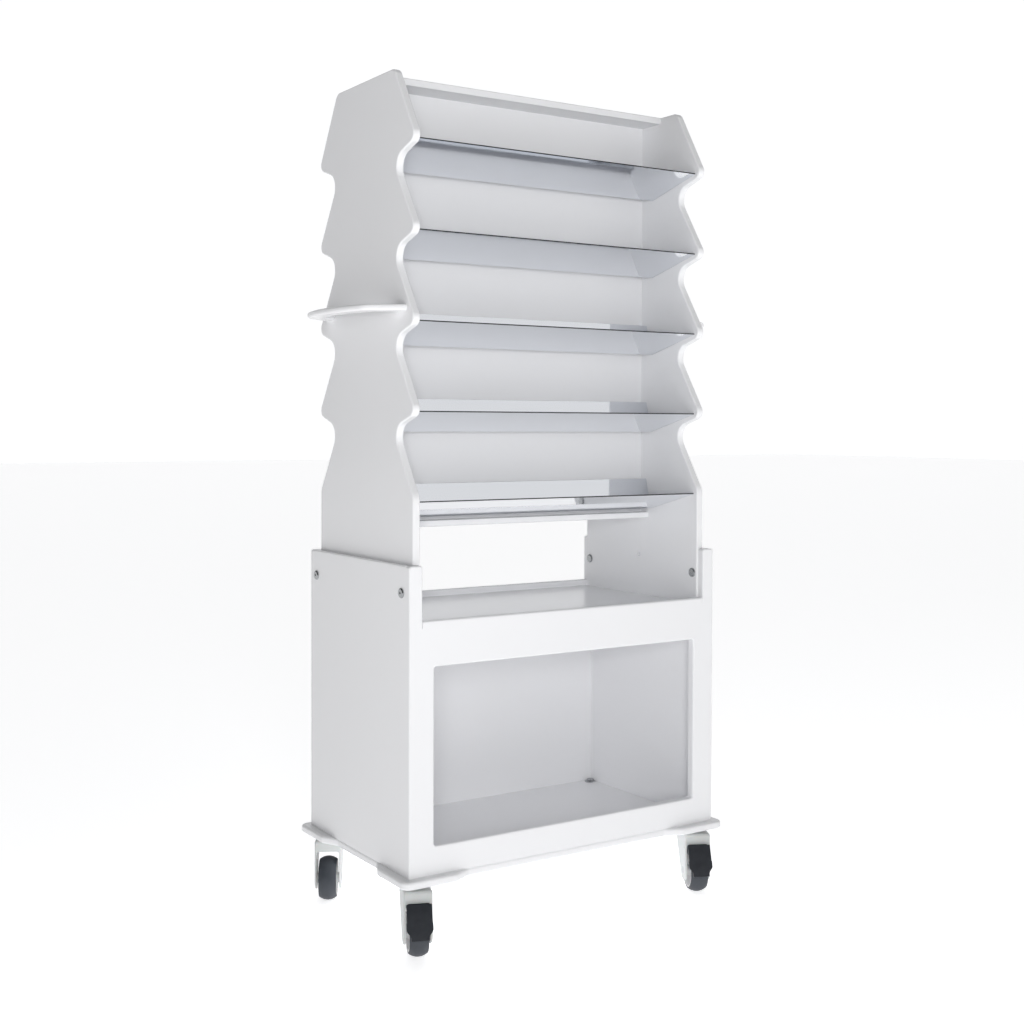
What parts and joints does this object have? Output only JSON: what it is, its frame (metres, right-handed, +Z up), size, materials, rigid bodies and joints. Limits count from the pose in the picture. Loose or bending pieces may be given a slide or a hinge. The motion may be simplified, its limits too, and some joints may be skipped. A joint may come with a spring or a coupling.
{
  "type": "rolling display trolley",
  "caption": "Tall rolling salon trolley: an open cabinet, a tray, and sloping mirror-finish shelves on both sides between scalloped boards, on swivel casters with foot brakes.",
  "frame": {"origin": "on the floor, under the middle of the cabinet", "axes": "+X to the right seen from the open side of the cabinet, +Y to the back, +Z up"},
  "size_m": [0.772, 0.4448, 1.466],
  "materials": {
    "lacquered_board": "gloss white lacquer on board",
    "shelf_sheet": "mirror-polished sheet with a dark front edge",
    "bright_steel": "polished steel fasteners",
    "zinc_steel": "zinc-plated steel",
    "dowel_wood": "plain beech",
    "caster_housing": "light grey moulded plastic",
    "wheel_rim": "light grey moulded plastic",
    "tyre_rubber": "dark blue-grey soft rubber, matt",
    "pedal_plastic": "black moulded plastic, fine texture"
  },
  "bodies": {
    "trolley": {"base_board": "lacquered_board", "cabinet_front_panel": "lacquered_board", "cabinet_back_panel": "lacquered_board", "cabinet_side_left": "lacquered_board", "cabinet_side_right": "lacquered_board", "tray_board": "lacquered_board", "lip_strip_front": "lacquered_board", "lip_strip_back": "lacquered_board", "upper_side_left": "lacquered_board", "upper_side_right": "lacquered_board", "centre_panel": "lacquered_board", "top_cap": "lacquered_board", "bottom_rail": "lacquered_board", "handle_left": "lacquered_board", "handle_right": "lacquered_board", "connector_bolts": "bright_steel", "connector_sleeves": "bright_steel", "cabinet_dowels": "dowel_wood", "upper_dowels": "dowel_wood", "handle_dowels": "dowel_wood", "caster_stems": "zinc_steel", "caster_washers": "zinc_steel", "caster_nuts": "zinc_steel", "shelf_front_1": "shelf_sheet", "shelf_front_2": "shelf_sheet", "shelf_front_3": "shelf_sheet", "shelf_front_4": "shelf_sheet", "shelf_front_5": "shelf_sheet", "shelf_back_1": "shelf_sheet", "shelf_back_2": "shelf_sheet", "shelf_back_3": "shelf_sheet", "shelf_back_4": "shelf_sheet", "shelf_back_5": "shelf_sheet"},
    "swivel_front_left": {"fork_front_left": "caster_housing", "swivel_balls_front_left": "zinc_steel", "axle_front_left": "zinc_steel", "brake_pin_front_left": "zinc_steel"},
    "wheel_front_left": {"rim_front_left": "wheel_rim", "tyre_front_left": "tyre_rubber"},
    "pedal_front_left": {"brake_pedal_front_left": "pedal_plastic"},
    "swivel_front_right": {"fork_front_right": "caster_housing", "swivel_balls_front_right": "zinc_steel", "axle_front_right": "zinc_steel", "brake_pin_front_right": "zinc_steel"},
    "wheel_front_right": {"rim_front_right": "wheel_rim", "tyre_front_right": "tyre_rubber"},
    "pedal_front_right": {"brake_pedal_front_right": "pedal_plastic"},
    "swivel_back_left": {"fork_back_left": "caster_housing", "swivel_balls_back_left": "zinc_steel", "axle_back_left": "zinc_steel"},
    "wheel_back_left": {"rim_back_left": "wheel_rim", "tyre_back_left": "tyre_rubber"},
    "swivel_back_right": {"fork_back_right": "caster_housing", "swivel_balls_back_right": "zinc_steel", "axle_back_right": "zinc_steel"},
    "wheel_back_right": {"rim_back_right": "wheel_rim", "tyre_back_right": "tyre_rubber"}
  },
  "joints": [
    {"name": "swivel_front_left", "type": "hinge", "parent": "trolley", "child": "swivel_front_left", "pos_m": [-0.299, -0.163, 0.1], "axis": [0, 0, 1], "continuous": true},
    {"name": "roll_front_left", "type": "hinge", "parent": "swivel_front_left", "child": "wheel_front_left", "pos_m": [-0.30986, -0.18989, 0.039], "axis": [0.9272, -0.3746, 0], "continuous": true},
    {"name": "brake_front_left", "type": "hinge", "parent": "swivel_front_left", "child": "pedal_front_left", "pos_m": [-0.31323, -0.19823, 0.084], "axis": [-0.9272, 0.3746, 0], "range_deg": [0, 18]},
    {"name": "swivel_front_right", "type": "hinge", "parent": "trolley", "child": "swivel_front_right", "pos_m": [0.299, -0.163, 0.1], "axis": [0, 0, 1], "continuous": true},
    {"name": "roll_front_right", "type": "hinge", "parent": "swivel_front_right", "child": "wheel_front_right", "pos_m": [0.28629, -0.18907, 0.039], "axis": [0.8988, -0.4384, 0], "continuous": true},
    {"name": "brake_front_right", "type": "hinge", "parent": "swivel_front_right", "child": "pedal_front_right", "pos_m": [0.28234, -0.19715, 0.084], "axis": [-0.8988, 0.4384, 0], "range_deg": [0, 18]},
    {"name": "swivel_back_left", "type": "hinge", "parent": "trolley", "child": "swivel_back_left", "pos_m": [-0.299, 0.163, 0.1], "axis": [0, 0, 1], "continuous": true},
    {"name": "roll_back_left", "type": "hinge", "parent": "swivel_back_left", "child": "wheel_back_left", "pos_m": [-0.3135, 0.13789, 0.039], "axis": [0.866, -0.5, 0], "continuous": true},
    {"name": "swivel_back_right", "type": "hinge", "parent": "trolley", "child": "swivel_back_right", "pos_m": [0.299, 0.163, 0.1], "axis": [0, 0, 1], "continuous": true},
    {"name": "roll_back_right", "type": "hinge", "parent": "swivel_back_right", "child": "wheel_back_right", "pos_m": [0.28538, 0.13739, 0.039], "axis": [0.8829, -0.4695, 0], "continuous": true}
  ]
}
